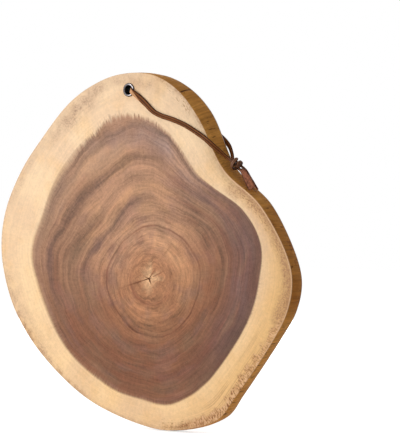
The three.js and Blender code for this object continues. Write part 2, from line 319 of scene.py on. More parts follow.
# Tints along rings of growth, given as the tones are, each with its colour and strength.
Tint = namedtuple("Tint", "colour share half degrees spread strength")
TINTS = [
    Tint(RING_BROWN, 0.42, 0.012, 0, 360, 0.75),
    Tint(RED_BROWN, 0.185, 0.035, 250, 140, 0.6),
    Tint(GOLD_TAN, 0.3, 0.12, 35, 75, 0.6),
    Tint(GOLD_TAN, 0.66, 0.05, 115, 55, 0.5),
    Tint(KHAKI, 0.91, 0.05, 128, 40, 0.7),
    Tint(MAUVE, 0.82, 0.28, 18, 75, 0.7),
    Tint(MAUVE, 0.38, 0.06, 160, 60, 0.4),
    Tint(MAUVE, 0.6, 0.04, 135, 65, 0.5),
    Tint(MAUVE, 0.84, 0.04, 150, 70, 0.45),
    Tint(MAUVE, 0.96, 0.06, 65, 40, 0.5),
    Tint(PALE_MAUVE, 0.94, 0.1, 88, 40, 0.75),
    Tint(RED_BROWN, 0.69, 0.05, 20, 45, 0.4),
    Tint(RED_BROWN, 0.8, 0.06, 193, 35, 0.45),
    Tint(RED_BROWN, 0.78, 0.09, 295, 55, 0.45),
    Tint(OLIVE, 0.7, 0.07, 160, 38, 0.6),
    Tint(OLIVE, 0.56, 0.09, 215, 50, 0.4),
    Tint(OLIVE, 0.55, 0.09, 305, 45, 0.4),
    Tint(BORDER_GREY, 0.97, 0.07, 140, 65, 0.5),
]

# Brown lines out from the pith: degrees, where each starts and ends, half width and strength. Each
# is full at this many times the distance where it starts.
STREAK_FADE = 1.3
Streak = namedtuple("Streak", "degrees start end half strength")
STREAKS = [
    Streak(196, 8 * MM, 34 * MM, 1.3 * MM, 0.95),
    Streak(23, 4 * MM, 24 * MM, 0.7 * MM, 0.75),
    Streak(53, 4 * MM, 14 * MM, 0.7 * MM, 0.6),
    Streak(52, 24 * MM, 40 * MM, 1.2 * MM, 0.4),
    Streak(120, 3 * MM, 16 * MM, 0.7 * MM, 0.35),
    Streak(-100, 3 * MM, 16 * MM, 0.6 * MM, 0.35),
    Streak(-12, 8 * MM, 20 * MM, 0.8 * MM, 0.4),
]

# Stains in the sapwood, given as the tints are: soft smudges, and stains broken up into spots.
SMUDGES = [
    Tint(SAP_GREY, 1.7, 0.4, 116.5, 11, 0.95),
    Tint(SAP_GREY, 1.72, 0.34, 127, 10, 0.55),
    Tint(SAP_GREY, 1.86, 0.28, 104, 13, 0.6),
    Tint(SAP_GREY, 1.74, 0.3, 91, 9, 0.5),
    Tint(SAP_GREY, 1.88, 0.2, 146, 16, 0.45),
    Tint(SAP_GREY, 1.72, 0.3, 197, 20, 0.35),
    Tint(SAP_MAUVE, 1.35, 0.45, 22, 16, 0.6),
    Tint(SAP_GREY, 1.45, 0.5, 40, 6, 0.4),
]
SPOTS = [
    Tint(SAP_GREY, 1.92, 0.2, 192, 18, 0.6),
    Tint(SAP_BROWN, 1.93, 0.16, 203, 12, 0.6),
    Tint(SAP_GREY, 1.9, 0.24, 213, 12, 0.6),
    Tint(SAP_BROWN, 1.92, 0.16, 228, 14, 0.5),
    Tint(SAP_GREY, 1.94, 0.16, 255, 30, 0.4),
    Tint(SAP_BROWN, 1.88, 0.2, 287, 14, 0.95),
    Tint(SAP_BROWN, 1.86, 0.18, 297, 7, 0.8),
    Tint(RIM_MAUVE, 1.95, 0.18, 42, 26, 0.6),
    Tint(SAP_BROWN, 1.97, 0.1, 75, 22, 0.5),
]

# Directions from the pith, with the degrees that each fades out within and its strength: where the
# pale wood at the pith reaches out, where the rim is flecked, and where heartwood bleeds outwards.
# All directions waver a little.
DIRECTION_WAVER = math.radians(4)
Side = namedtuple("Side", "degrees spread strength")
WEDGES = [Side(12, 42, 1), Side(97, 40, 1), Side(255, 48, 1)]
FLECKS = [Side(14, 45, 0.7), Side(283, 12, 0.8), Side(77, 7, 0.7)]
BLEEDS = [
    Side(182, 16, 1), Side(215, 24, 1), Side(106, 8, 1),
    Side(352, 14, 1), Side(10, 50, 0.6), Side(300, 60, 0.5),
]

# Lines in the wood: how fine they are round the pith and across the rings or the thickness, their
# detail, and where in the noise they start.
Lines = namedtuple("Lines", "around across detail start", defaults=[0])
BANDS = Lines(1.2, 11, 2)
FINE_LINES = Lines(2.2, 42, 3)
HAIR_LINES = Lines(3.6, 110, 3)
STAR_LINES = Lines(2.5, 0, 2, 3)
RAYS = Lines(45, 6, 3)
FEATHERS = Lines(80, 2, 3)
SAP_LINES = Lines(2, 22, 3)
COURSES = Lines(2.5, 32, 3, 9)
DASHES = Lines(40, 700, 3)
CHIPS = Lines(130, 360, 4)
EDGE_STREAKS = Lines(50, 20, 3)
EDGE_LINES = Lines(150, 45, 3)
EDGE_CHECKS = Lines(70, 90, 2)
PORES_PER_METRE = 1000
SPECKS_PER_METRE = 420

# Clouds of colour along lines in the heartwood: strength, and how much more of it above the pith.
Cloud = namedtuple("Cloud", "colour lines strength above")
CLOUDS = [
    Cloud(MAUVE, Lines(2.4, 8, 3, 20), 0.3, 0),
    Cloud(OLIVE, Lines(2.4, 7, 3, 40), 0.3, 0),
    Cloud(RED_BROWN, Lines(2.4, 12, 3, 60), 0.22, 0),
    Cloud(GOLD_TAN, Lines(2.4, 9, 3, 80), 0.06, 0.2),
]


class Field:
    """A value in a node tree. What is worked out from fields adds the nodes for it to the tree."""

    def __init__(self, shader, socket):
        self.shader = shader
        self.socket = socket

    def __add__(self, other):
        return self.shader.math("ADD", self, other)

    def __sub__(self, other):
        return self.shader.math("SUBTRACT", self, other)

    def __rsub__(self, other):
        return self.shader.math("SUBTRACT", other, self)

    def __mul__(self, other):
        return self.shader.math("MULTIPLY", self, other)

    __radd__ = __add__
    __rmul__ = __mul__

    def __abs__(self):
        return self.shader.math("ABSOLUTE", self)

    def rise(self, low, high):
        """0 below low, 1 above high, and a smooth step between them. low may be the greater."""
        inputs = {"Value": self, "From Min": low, "From Max": high}
        smooth_step = {"interpolation_type": "SMOOTHSTEP", "clamp": False}
        return self.shader.field(self.shader.add("ShaderNodeMapRange", inputs, **smooth_step))

    def mix(self, share, colour):
        """This colour with a share of another one over it."""
        return self.shader.mix(share, self, colour)

    def shade(self, tone):
        """This colour made darker or lighter by a tone."""
        return self.shader.mix(1.0, self, tone, "MULTIPLY")


class Shader:
    """Adds nodes to one tree, with each input either a value or a field."""

    def __init__(self, tree):
        self.tree = tree

    def add(self, kind, inputs, **settings):
        node = self.tree.nodes.new(kind)
        for name, value in settings.items():
            setattr(node, name, value)
        for key, value in inputs.items():
            if isinstance(value, Field):
                self.tree.links.new(value.socket, node.inputs[key])
            else:
                node.inputs[key].default_value = value
        return node

    def field(self, node, output=0):
        return Field(self, node.outputs[output])

    def math(self, operation, *values):
        return self.field(self.add("ShaderNodeMath", dict(enumerate(values)), operation=operation))

    def vector(self, x, y, z):
        return self.field(self.add("ShaderNodeCombineXYZ", {"X": x, "Y": y, "Z": z}))

    def vectors(self, operation, *values):
        node = self.add("ShaderNodeVectorMath", dict(enumerate(values)), operation=operation)
        return self.field(node, "Value" if operation == "DOT_PRODUCT" else "Vector")

    def parts(self, vector):
        node = self.add("ShaderNodeSeparateXYZ", {"Vector": vector})
        return [self.field(node, axis) for axis in "XYZ"]

    def place(self):
        return self.field(self.add("ShaderNodeTexCoord", {}), "Object")

    def attribute(self, name):
        return self.field(self.add("ShaderNodeAttribute", {}, attribute_name=name), "Fac")

    def noise(self, place, scale, detail):
        inputs = {"Vector": place, "Scale": scale, "Detail": detail}
        return self.field(self.add("ShaderNodeTexNoise", inputs), "Fac")

    def ramp(self, value, stops):
        node = self.add("ShaderNodeValToRGB", {"Fac": value})
        ramp = node.color_ramp
        while len(ramp.elements) < len(stops):
            ramp.elements.new(1.0)
        for element, (position, colour) in zip(ramp.elements, stops):
            element.position = position
            element.color = colour
        return self.field(node, "Color")

    def mix(self, share, first, second, kind="MIX"):
        inputs = {0: share, 6: first, 7: second}
        node = self.add("ShaderNodeMix", inputs, data_type="RGBA", blend_type=kind)
        return self.field(node, 2)

    def bump(self, height, distance):
        inputs = {"Height": height, "Distance": distance, "Strength": 1.0}
        return self.field(self.add("ShaderNodeBump", inputs), "Normal")

    def group(self, tree, inputs):
        return self.field(self.add("ShaderNodeGroup", inputs, node_tree=tree))

    def mottle(self, place, scale, low=0.35, high=0.65):
        return self.group(MOTTLE, {"Place": place, "Scale": scale, "Low": low, "High": high})


def new_group(name, values, result):
    """A node group that takes a place and these values: its tree, shader, input fields and output."""
    tree = bpy.data.node_groups.new(name, "ShaderNodeTree")
    kinds = {"Place": "NodeSocketVector"} | {value: "NodeSocketFloat" for value in values}
    for socket, kind in kinds.items():
        tree.interface.new_socket(socket, in_out="INPUT", socket_type=kind)
    tree.interface.new_socket(result, in_out="OUTPUT", socket_type="NodeSocketFloat")
    shader = Shader(tree)
    given = tree.nodes.new("NodeGroupInput")
    fields = {socket: shader.field(given, socket) for socket in kinds}
    return tree, shader, fields, tree.nodes.new("NodeGroupOutput")


def grain_group():
    """Lines of growth. Around sets how fine they are round the pith, Along is what they follow."""
    tree, shader, given, out = new_group("growth_lines", ["Around", "Along", "Detail"], "Lines")
    x, y, z = shader.parts(shader.vectors("SUBTRACT", given["Place"], tuple(PITH)))
    direction = shader.vectors("NORMALIZE", shader.vector(x, 0.0, z))
    around = shader.vectors("MULTIPLY", direction, given["Around"])
    spot = shader.vectors("ADD", around, shader.vector(0.0, given["Along"], 0.0))
    tree.links.new(shader.noise(spot, 1.0, given["Detail"]).socket, out.inputs["Lines"])
    return tree


def mottle_group():
    """Soft uneven patches from 0 to 1, at a number of patches to the metre."""
    tree, shader, given, out = new_group("mottle", ["Scale", "Low", "High"], "Mottle")
    cloud = shader.noise(given["Place"], given["Scale"], 3.0)
    tree.links.new(cloud.rise(given["Low"], given["High"]).socket, out.inputs["Mottle"])
    return tree


GROWTH_LINES = grain_group()
MOTTLE = mottle_group()


def new_material(name):
    material = bpy.data.materials.new(name)
    material.use_nodes = True
    material.node_tree.nodes.clear()
    return material, Shader(material.node_tree)


def surface(shader, **inputs):
    """The Principled shader with these inputs, given by socket name with _ for spaces."""
    named = {key.replace("_", " "): value for key, value in inputs.items()}
    principled = shader.add("ShaderNodeBsdfPrincipled", named)
    shader.add("ShaderNodeOutputMaterial", {"Surface": shader.field(principled)})


class Grain:
    """The patterns of the wood, which follow its growth round the pith."""

    def __init__(self, shader):
        self.shader = shader
        self.place = shader.place()
        self.x, self.y, self.z = shader.parts(shader.vectors("SUBTRACT", self.place, tuple(PITH)))
        waver = (self.mottle(18.0) - 0.5) * DIRECTION_WAVER
        turned = shader.vector(self.x + self.z * waver, 0.0, self.z - self.x * waver)
        self.direction = shader.vectors("NORMALIZE", turned)

    def lines(self, kind, across):
        along = across * kind.across + kind.start
        inputs = {"Place": self.place, "Around": kind.around, "Along": along, "Detail": kind.detail}
        return self.shader.group(GROWTH_LINES, inputs) - 0.5

    def mottle(self, *values):
        return self.shader.mottle(self.place, *values)

    def towards(self, degrees, spread):
        """1 in this direction from the pith, falling to 0 at spread degrees from it."""
        angle = math.radians(degrees)
        way = (math.cos(angle), 0.0, math.sin(angle))
        way = self.shader.vectors("DOT_PRODUCT", self.direction, way)
        return way.rise(math.cos(math.radians(spread)), 1.0)

    def sides(self, sides):
        """The sum of these directions, each at its strength."""
        return sum(self.towards(side.degrees, side.spread) * side.strength for side in sides)

    def near(self, rings, band):
        """1 on the band's ring and in its direction, falling to 0 round it."""
        close = abs(rings - band.share).rise(band.half, 0.0)
        return close if band.spread >= 360 else close * self.towards(band.degrees, band.spread)

    def ahead(self, degrees):
        """Distance from the pith along the line in this direction."""
        angle = math.radians(degrees)
        return self.x * math.cos(angle) + self.z * math.sin(angle)

    def beside(self, degrees):
        """Distance off the line from the pith in this direction, less than 0 on its right."""
        angle = math.radians(degrees)
        return self.z * math.cos(angle) - self.x * math.sin(angle)


def heartwood(shader, grain, growth, ring, rays, pores, speck):
    """The dark wood's colour, and its fine lines for the relief."""
    tone = 1.0 + speck * 0.45 + pores * 0.5
    for band in TONES:
        tone = tone + grain.near(ring, band) * band.change
    settled = growth.rise(0.1, 0.35)
    colour = shader.ramp(ring, HEART_STOPS)
    colour = colour.mix(grain.towards(105, 115) * settled * 0.8, UPPER_TAN)
    right = grain.towards(353, 68) * ring.rise(0.5, 0.95)
    colour = colour.mix(right * 0.7, GREY_BROWN)
    patchy = 0.45 + grain.mottle(38.0) * 0.55
    for tint in TINTS:
        colour = colour.mix(grain.near(ring, tint) * patchy * tint.strength, tint.colour)
    upper = grain.towards(100, 120)
    for cloud in CLOUDS:
        seen = grain.lines(cloud.lines, ring).rise(-0.02, 0.16)
        strength = cloud.strength + upper * cloud.above
        colour = colour.mix(seen * settled * strength, cloud.colour)
    star = growth + grain.lines(STAR_LINES, growth) * 0.16 - grain.sides(WEDGES) * 0.045
    colour = colour.mix(star.rise(0.11, -0.03) * 0.65, PITH_CREAM)
    bands = grain.lines(BANDS, ring)
    fine = grain.lines(FINE_LINES, ring)
    hair = grain.lines(HAIR_LINES, ring)
    crisp = 0.7 + growth.rise(0.55, 0.35) * 0.4
    colour = colour.shade(tone + rays * 0.26 + bands * 0.4 + fine * crisp + hair * 0.7)
    for streak in STREAKS:
        along = grain.ahead(streak.degrees)
        off = grain.beside(streak.degrees) + pores * 0.8 * MM
        seen = abs(off).rise(streak.half, 0.0)
        seen = seen * along.rise(streak.start, streak.start * STREAK_FADE)
        seen = seen * along.rise(streak.end, streak.start)
        colour = colour.mix(seen * streak.strength, STREAK_BROWN)
    return colour, fine


def sapwood(shader, grain, growth, from_rim, rays, pores, speck):
    """The pale wood's colour with its stains."""
    colour = shader.mix(grain.z.rise(-0.1, 0.12), SAP_YELLOW, SAP_PINK)
    colour = colour.mix(grain.mottle(26.0) * 0.35, SAP_MAUVE)
    colour = colour.mix(grain.mottle(41.0, 0.45, 0.7) * 0.3, SAP_GOLD)
    golden = grain.towards(350, 85) * growth.rise(0.9, 1.7)
    colour = colour.mix(golden * 0.75, SAP_GOLD)
    # Painted shade: the sapwood darkens towards the rim, most on the right.
    rim_shade = growth.rise(1.4, 2.0) * (0.04 + grain.towards(32, 60) * 0.24)
    colour = colour.shade(1.0 - rim_shade + pores * 0.2 + speck * 0.2)
    grit = grain.mottle(650.0, 0.42, 0.6)
    smudged = 0.3 + grain.mottle(130.0, 0.3, 0.68) * (0.25 + grit * 0.5)
    spotted = 0.15 + grain.mottle(130.0, 0.38, 0.6) * (0.35 + grit * 0.6)
    for stains, broken in ((SMUDGES, smudged), (SPOTS, spotted)):
        for stain in stains:
            seen = grain.near(growth, stain) * broken * stain.strength
            colour = colour.mix(seen, stain.colour)
    lines = grain.lines(SAP_LINES, growth)
    colour = colour.shade(1.0 + lines * 0.22 + rays * 0.2)
    courses = grain.lines(COURSES, growth).rise(-0.02, 0.2)
    courses = courses * grain.towards(325, 45) * growth.rise(1.3, 1.6)
    colour = colour.mix(courses * 0.45, SAP_BROWN)
    return rim_wear_and_painted_light(grain, from_rim, grit, colour)


def rim_wear_and_painted_light(grain, from_rim, grit, colour):
    """The sapwood's colour along the rim: a dull band, flecks, wood torn with the bark, a greyer line
    of dirt and painted shade round the left side, and a pale eased edge on the right with a painted
    highlight.
    """
    band = (from_rim + grain.mottle(60.0) * 6 * MM).rise(16 * MM, 7 * MM)
    band = band * grain.towards(13, 36).rise(0.05, 0.5)
    colour = colour.mix(band * (0.3 + grit * 0.5), RIM_MAUVE)
    dashes = grain.lines(DASHES, from_rim).rise(0.03, 0.18)
    flecked = from_rim.rise(1.5 * MM, 3 * MM) * from_rim.rise(12 * MM, 5 * MM)
    colour = colour.mix(flecked * grain.sides(FLECKS) * dashes, SAP_BROWN)
    torn = (from_rim + grain.mottle(120.0) * 5 * MM).rise(11.5 * MM, 7 * MM)
    torn = torn * grain.towards(318, 34).rise(0.03, 0.45)
    chips = grain.lines(CHIPS, from_rim)
    rough = 0.35 + grain.towards(311, 18) * 0.4 + grit * 0.25
    colour = colour.mix(torn * 0.55, TORN_BROWN)
    colour = colour.mix(torn * chips.rise(0.04, -0.14) * 0.65, TORN_PINK)
    colour = colour.mix(torn * chips.rise(-0.01, 0.14) * rough, BARK_BROWN)
    # Painted shade, partly dirt: a greyer line along the eased edge round the left side.
    grime_and_shade = (from_rim + grit * 1.5 * MM).rise(3.2 * MM, 0.6 * MM) * grain.towards(190, 125)
    colour = colour.mix(grime_and_shade * 0.5, SAP_GREY)
    # A pale eased edge on the right, partly the sanded wood's own colour and partly a painted
    # highlight.
    pale_edge_and_highlight = from_rim.rise(1.3 * MM, 0.7 * MM) * grain.towards(15, 65)
    return colour.mix(pale_edge_and_highlight * 0.8, EDGE_PALE_AND_HIGHLIGHT)


def end_grain():
    """The sawn and oiled face: rings, dark heartwood with a feathered edge, pale stained sapwood."""
    material, shader = new_material("end_grain")
    grain = Grain(shader)
    growth = shader.attribute("growth")
    from_rim = shader.attribute("from_rim")
    wander = (grain.mottle(14.0) - 0.5) * 0.016 + (grain.mottle(45.0) - 0.5) * 0.012
    near_pith = (grain.mottle(120.0) - 0.5) * 0.06 * growth.rise(0.25, 0.02)
    ring = shader.attribute("ring") + wander * growth.rise(0.1, 0.5) + near_pith
    rays = grain.lines(RAYS, growth)
    pores = shader.noise(grain.place, PORES_PER_METRE, 3.0) - 0.5
    speck = shader.noise(grain.place, SPECKS_PER_METRE, 2.0) - 0.5
    heart, fine = heartwood(shader, grain, growth, ring, rays, pores, speck)
    sap = sapwood(shader, grain, growth, from_rim, rays, pores, speck)

    feather = grain.lines(FEATHERS, growth)
    bleed = growth.rise(1.12, 1.0) * feather.rise(-0.05, 0.2)
    sap = sap.mix(bleed * (0.35 + grain.sides(BLEEDS)) * 0.5, BORDER_GREY)
    soft = 0.028 + grain.towards(215, 110) * 0.034 - grain.towards(97, 36) * 0.014
    teeth = 0.04 + grain.towards(97, 36) * 0.05 + grain.towards(235, 70) * 0.06
    edge = growth + wander * 0.6 + feather * teeth
    late = 0.024 - grain.towards(108, 75) * 0.036
    colour = heart.mix((edge - late).rise(1.0 - soft, 1.0 + soft * 1.3), sap)
    colour = colour.mix(shader.attribute("crack"), CRACK_BROWN)

    roughness = 0.5 + pores * 0.14 + fine * 0.1
    normal = shader.bump(pores * 0.5 + fine * 0.4 + rays * 0.3, 0.1 * MM)
    surface(shader, Base_Color=colour, Roughness=roughness, Specular_IOR_Level=0.14, Normal=normal)
    return material


def live_edge():
    """The rim where the bark came off: golden wood with dark streaks through the thickness."""
    material, shader = new_material("live_edge")
    grain = Grain(shader)
    streaks = grain.lines(EDGE_STREAKS, grain.y)
    fine = grain.lines(EDGE_LINES, grain.y)
    tone = 1.0 + streaks * 0.9 + fine * 0.9
    shaded = grain.towards(9, 26)
    darker = grain.mottle(30.0, 0.4, 0.65) * 0.35 + shaded * 0.55
    patch = grain.mottle(85.0, 0.4, 0.62) * (0.3 + shaded * 0.5)
    colour = shader.mix(shader.math("MAXIMUM", darker, patch), EDGE_GOLD, EDGE_BROWN)
    colour = colour.shade(tone)
    checks = grain.lines(EDGE_CHECKS, grain.y).rise(0.13, 0.2)
    off = grain.beside(SCAR_DEGREES) + fine * 1.5 * MM
    scar = abs(off).rise(SCAR_HALF, 0.0) * grain.towards(SCAR_DEGREES, 20)
    scar = scar * abs(grain.y).rise(8.6 * MM, 6.5 * MM)
    colour = colour.mix(shader.math("MAXIMUM", checks * 0.7, scar * 0.95), EDGE_DARK)
    depth = grain.y + fine * 0.8 * MM
    # A pale front edge on the right, partly sanded wood and partly a painted highlight.
    front = depth.rise(-8.2 * MM, -8.7 * MM) * grain.towards(15, 65)
    colour = colour.mix(front * 0.8, EDGE_PALE_AND_HIGHLIGHT)
    # A lavender line along the back edge, partly sanded wood and partly a painted reflection.
    colour = colour.mix(depth.rise(7.5 * MM, 8.3 * MM) * 0.8, EDGE_LAVENDER_AND_REFLECTION)
    roughness = 0.6 + fine * 0.2
    normal = shader.bump(streaks + fine * 0.7 - scar, 0.35 * MM)
    surface(shader, Base_Color=colour, Roughness=roughness, Specular_IOR_Level=0.05, Normal=normal)
    return material


def eyelet_metal():
    """Dark plating, brighter on the inner lip and most on its right, partly where the lace bears on it
    and partly a painted highlight, and darkened inside the barrel as painted shade.
    """
    material, shader = new_material("eyelet_metal")
    place = shader.place()
    x, y, z = shader.parts(place)
    radius = shader.math("SQRT", x * x + z * z)
    patches = shader.mottle(place, 700.0, 0.3, 0.7)
    # Painted highlight, partly wear from the lace: the inner lip is lighter, most on its right.
    lip_wear_and_highlight = (radius + patches * 0.5 * MM).rise(5.7 * MM, 4.9 * MM)
    rub_and_highlight = (x + patches * 1.5 * MM).rise(-1 * MM, 4.5 * MM)
    colour = shader.mix(lip_wear_and_highlight * (0.12 + rub_and_highlight * 0.88), PLATED_DARK, PLATED_WEAR_AND_HIGHLIGHT)
    # Painted shade: the barrel's bore is darkened, as shade would darken it.
    inside = abs(y).rise(FACE + FLANGE_EDGE, FACE - 1 * MM)
    colour = colour.mix(inside, BORE_SHADE)
    normal = shader.bump(patches, 0.02 * MM)
    surface(shader, Base_Color=colour, Metallic=1.0, Roughness=0.26 + patches * 0.16, Normal=normal)
    return material


def lace_leather():
    """Brown lacing leather: lighter lines that are painted highlights, beside a dark middle line of
    painted shade; dark edges, partly painted shade; greyer in the knot; tan, streaked free ends that
    are painted light; and its raw side out at the hole."""
    material, shader = new_material("lace_leather")
    place = shader.place()
    along = shader.attribute("along")
    across = shader.attribute("across")
    side = abs(across)

    def strip_noise(along_rate, across_rate, start, detail):
        spot = shader.vector(along * along_rate, across * across_rate, start)
        return shader.noise(spot, 1.0, detail)

    patches = shader.mottle(place, 130.0, 0.35, 0.68)
    pores = shader.noise(place, LEATHER_PORES_PER_METRE, 3.0) - 0.5
    creases = strip_noise(900.0, 1.2, 0.0, 3.0) - 0.5
    fibres = strip_noise(60.0, 7.0, 3.0, 2.0) - 0.5
    # Painted highlights: lighter lines either side of the lace's middle; the paler patches are the
    # leather's own.
    highlight_stripes = abs(side - 0.5 + fibres * 0.3).rise(0.35, 0.05)
    colour = shader.mix(highlight_stripes * 0.7 + patches * 0.2, LEATHER, LEATHER_WORN_AND_HIGHLIGHT)
    knotted = along.rise(*KNOT_STARTS)
    colour = colour.mix(knotted * (0.4 + patches * 0.4), LEATHER_GREY)
    # Painted light: the free ends below the knot are made tan, as if lit.
    tail = knotted * shader.parts(place)[2].rise(*TAIL_STARTS)
    colour = colour.mix(tail * (0.6 + patches * 0.4), LEATHER_LIT_TAN)
    # Painted shade: a dark line down the lace's middle, stronger in places, and none on the free ends.
    folds = strip_noise(26.0, 0.0, 7.0, 1.0).rise(0.4, 0.6)
    groove_shade = (side + fibres * 0.3).rise(0.3, 0.05) * (0.2 + folds * 0.7) * (1.0 - tail)
    colour = colour.mix(groove_shade, LEATHER_DARK)
    # Dark edges, partly the leather's own and partly painted shade, darker along one side.
    edges = (side + fibres * 0.4).rise(0.6, 1.0) * (0.6 + across.rise(-0.5, 0.5) * 0.35)
    colour = colour.mix(edges, LEATHER_DARK)
    raw = (across + along * RAW_TAPER + fibres * 0.3).rise(2.3, 1.9)
    colour = colour.mix(raw * 0.9, LEATHER_RAW)
    # Streaks of painted highlight and dark specks on the free ends, which are also darkened a little.
    scuffs_and_glints = strip_noise(420.0, 1.6, 11.0, 3.0) - 0.5
    rough = 0.7 + tail * 0.9
    tone = 0.95 + pores * rough + creases * 0.6 + fibres * 0.8 + scuffs_and_glints * tail * 2.2 - tail * 0.1
    colour = colour.shade(tone)
    roughness = 0.58 + pores * 0.2 - patches * 0.08
    normal = shader.bump(pores * 0.5 + creases * 0.6 + fibres * 0.5, 0.16 * MM)
    surface(shader, Base_Color=colour, Roughness=roughness, Specular_IOR_Level=0.1, Normal=normal)
    return material


def new_object(name, data):
    item = bpy.data.objects.new(name, data)
    bpy.context.scene.collection.objects.link(item)
    return item


def put(name, mesh, body, node, materials):
    """A finished piece that rides on a body and stands for a node of the frame."""
    piece = new_object(name, mesh)
    for material in materials:
        mesh.materials.append(material)
    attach(piece, body)
    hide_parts(node)
    return piece


def first_ring(bm, sides):
    """An open ring: its vertices, its edges and the layer that keeps each vertex's angle."""
    angle_at = bm.verts.layers.float.new("angle")
    ring = bmesh.ops.create_circle(bm, segments=sides, radius=1)["verts"]
    for vert in ring:
        vert[angle_at] = math.atan2(vert.co.y, vert.co.x)
    return ring, list(bm.edges), angle_at


def next_ring(bm, edges):
    """Extrudes an open ring of edges: the new ring's vertices and edges."""
    made = bmesh.ops.extrude_edge_only(bm, edges=edges)["geom"]
    verts = [item for item in made if isinstance(item, bmesh.types.BMVert)]
    edges = [item for item in made if isinstance(item, bmesh.types.BMEdge) and item.is_boundary]
    return verts, edges


def smooth(mesh):
    """Shades a mesh smooth, but for its sharp edges."""
    mesh.shade_smooth()
    mesh.set_sharp_from_angle(angle=SHARP_ANGLE)


def to_mesh(bm, name):
    """Closes the open ends, turns the faces outwards and hands over the mesh."""
    bmesh.ops.holes_fill(bm, edges=[edge for edge in bm.edges if edge.is_boundary], sides=0)
    bmesh.ops.recalc_face_normals(bm, faces=bm.faces)
    mesh = bpy.data.meshes.new(name)
    bm.to_mesh(mesh)
    bm.free()
    smooth(mesh)
    return mesh


Station = namedtuple("Station", "point facing rolled")


def station(point, facing, rolled=CURLED):
    return Station(Vector(point) * MM, Vector(facing), rolled)


def blend(first, second, share):
    return first + (second - first) * share


def hermite(start, leave, end, reach, t):
    """A share t of the way from start to end, which it leaves and reaches at these rates."""
    return (
        start * (2 * t**3 - 3 * t**2 + 1)
        + leave * (t**3 - 2 * t**2 + t)
        + end * (3 * t**2 - 2 * t**3)
        + reach * (t**3 - t**2)
    )


def knot_station(length, share, degrees, tilt=0):
    """A station in the knot: its way along, its share of the way out to the turns, its angle."""
    angle = math.radians(degrees)
    lean = math.radians(tilt)
    outward = KNOT_OUT * math.cos(angle) + KNOT_FRONT * math.sin(angle)
    point = KNOT + KNOT_ALONG * length + outward * blend(CORE_RADIUS, WRAP_RADIUS, share)
    facing = KNOT_ALONG * math.sin(lean) - outward * math.cos(lean)
    return Station(point, facing, blend(1, WRAP_ROLLED, share))


def overhand():
    """The front end's way through the knot: along it, back round all strands, along it again."""
    last_pass = FIRST_PASS - WRAP_TURN
    stations = [
        knot_station(-PASS_END, PASS_FLARE, FIRST_PASS),
        knot_station(-PASS_HALF, 0, FIRST_PASS),
        knot_station(PASS_HALF, 0, FIRST_PASS),
    ]
    for bend in BENDS:
        place = WRAP_HALF + bend.beyond
        stations.append(knot_station(place, bend.share, FIRST_PASS - bend.turn, bend.tilt))
    for step in range(WRAP_POINTS + 1):
        part = step / WRAP_POINTS
        degrees = FIRST_PASS - TURN_LEAD - (WRAP_TURN - 2 * TURN_LEAD) * part
        stations.append(knot_station(WRAP_HALF * (1 - 2 * part), 1, degrees, 180))
    for bend in reversed(BENDS):
        place = -WRAP_HALF - bend.beyond
        stations.append(knot_station(place, bend.share, last_pass + bend.turn, 360 - bend.tilt))
    stations += [
        knot_station(-PASS_HALF, 0, last_pass),
        knot_station(PASS_HALF, 0, last_pass),
        knot_station(PASS_END, PASS_FLARE, last_pass),
    ]
    return stations


def out_of_hole(side):
    """The way from the middle of the hole over the eyelet on the face that side names."""
    return [
        station((2.8, side * 0.15, 0), (1, 0, 0), 0.6),
        station((2.8, side * 5, 0), (1, 0, 0), 0.6),
        station((2.8, side * 8.6, 0), (1, 0, 0), 0.6),
        station((3.6, side * 10.7, -0.8), (0.6, side * -0.5, -0.4), 0.6),
    ]


def on_face(side, *places):
    """Stations on the face that side names, at these x and z, some with how far the lace is rolled."""
    return [station((x, side * LACE_LIES, z), (0, -side, 0), *rolled) for x, z, *rolled in places]


# From the middle of the hole, out over the front eyelet, across the face, over the edge, through the
# knot and down the free end.
FRONT_ROUTE = [
    *out_of_hole(-1),
    station((5.6, -11.3, -2.4), (0.1, 1, -0.1), 0.5),
    station((8.6, -10.7, -4.6), (-0.1, 1, 0.1), 0.4),
    *on_face(-1, (13.2, -8.2, 0.32), (19, -13, 0.36), (24.4, -17.9, 0.45), (28.5, -20.7)),
    *on_face(-1, (35.5, -23.7), (46, -26.9), (59, -32), (70, -38)),
    station((80, -10.2, -44.2), (0, 1, 0)),
    station((87.2, -9.6, -50), (-0.25, 1, 0)),
    station((92.6, -7, -55), (-0.2, 1, -0.1), 0.6),
    station((97.2, -4.2, -59.6), (0, 1, 0), 0.8),
    *overhand(),
    station((113.8, 1.4, -71.2), FRONT_END_FACES, 0.7),
    station((117.4, 2.4, -77), FRONT_END_FACES),
    station((120.6, 3, -82), FRONT_END_FACES),
    station((123.8, 3.3, -87), FRONT_END_FACES),
]

# The same way out of the back of the hole, then straight through the knot.
BACK_ROUTE = [
    *out_of_hole(1),
    station((5.6, 11.3, -2.2), (0.1, -1, -0.1), 0.5),
    station((8.8, 10.7, -4.1), (-0.1, -1, 0.1)),
    *on_face(1, (14, -6.8), (26, -12.6), (42, -19.6), (58, -27.2), (74, -36)),
    station((85, 10.2, -43.6), (0, -1, 0)),
    station((91.6, 9.4, -50), (-0.25, -1, 0)),
    station((95.6, 7, -55.6), (-0.2, -1, -0.1), 0.6),
    station((98.6, 4, -60.4), (0, -1, 0), 0.8),
    knot_station(-PASS_END, 0, BACK_STRAND),
    knot_station(0, 0, BACK_STRAND),
    knot_station(PASS_END, 0, BACK_STRAND),
    station((111.9, -1.2, -71.8), BACK_END_FACES, 0.5),
    station((116.2, -2.4, -76.6), BACK_END_FACES, 0.1),
    station((120.4, -3.8, -81.8), BACK_END_FACES, 0),
    station((123.8, -5, -86.6), BACK_END_FACES, 0.1),
]


